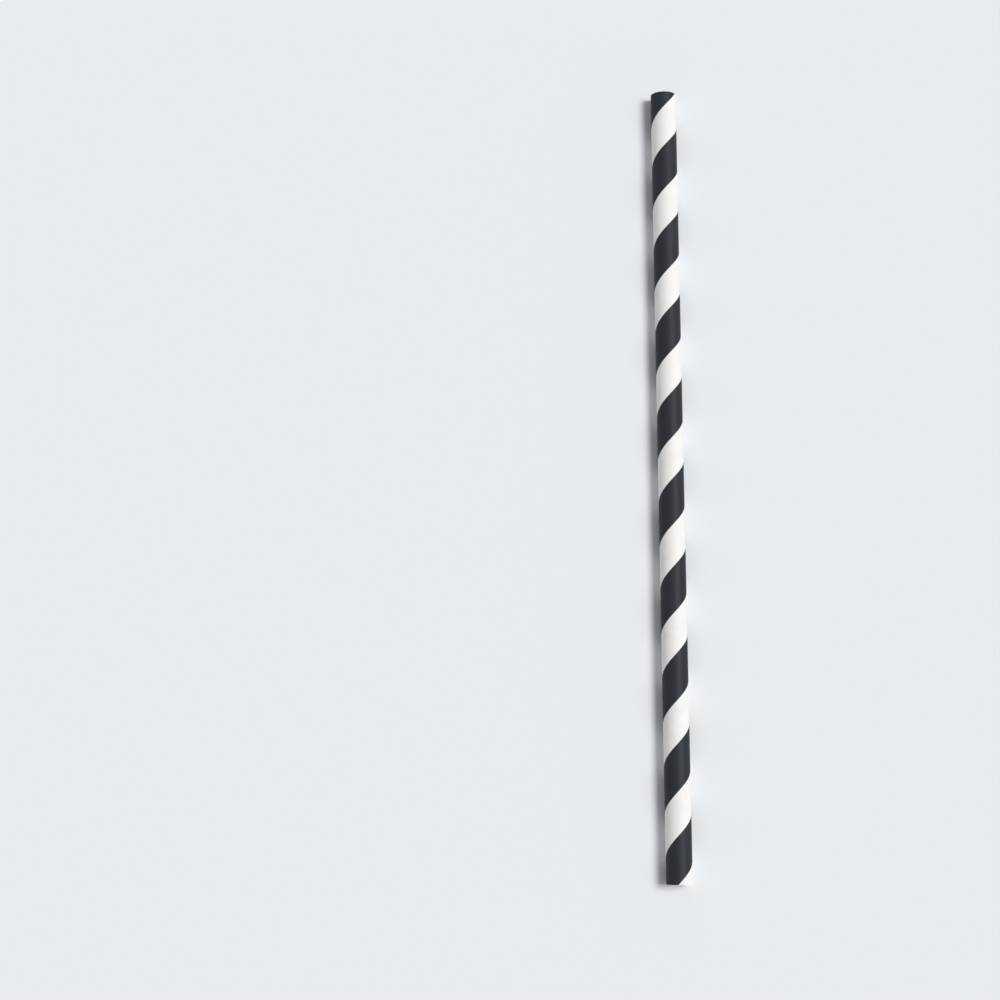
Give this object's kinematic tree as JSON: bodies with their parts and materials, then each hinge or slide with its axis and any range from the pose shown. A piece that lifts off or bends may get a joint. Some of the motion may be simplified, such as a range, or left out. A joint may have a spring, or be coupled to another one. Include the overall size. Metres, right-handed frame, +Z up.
{
  "type": "paper drinking straw",
  "caption": "Straight paper drinking straw: a thin paper tube wound on a slant, cut square at both open ends, white with one broad dark spiral stripe.",
  "frame": {"origin": "under the middle of the straw, on the plane that it lies on", "axes": "+Y along the straw's axis, towards the end that is further off in the picture, +Z up from the plane that it lies on"},
  "size_m": [0.0064, 0.1968, 0.0063],
  "materials": {
    "paper": "matte"
  },
  "bodies": {
    "root": {"straw": "paper"}
  },
  "joints": []
}
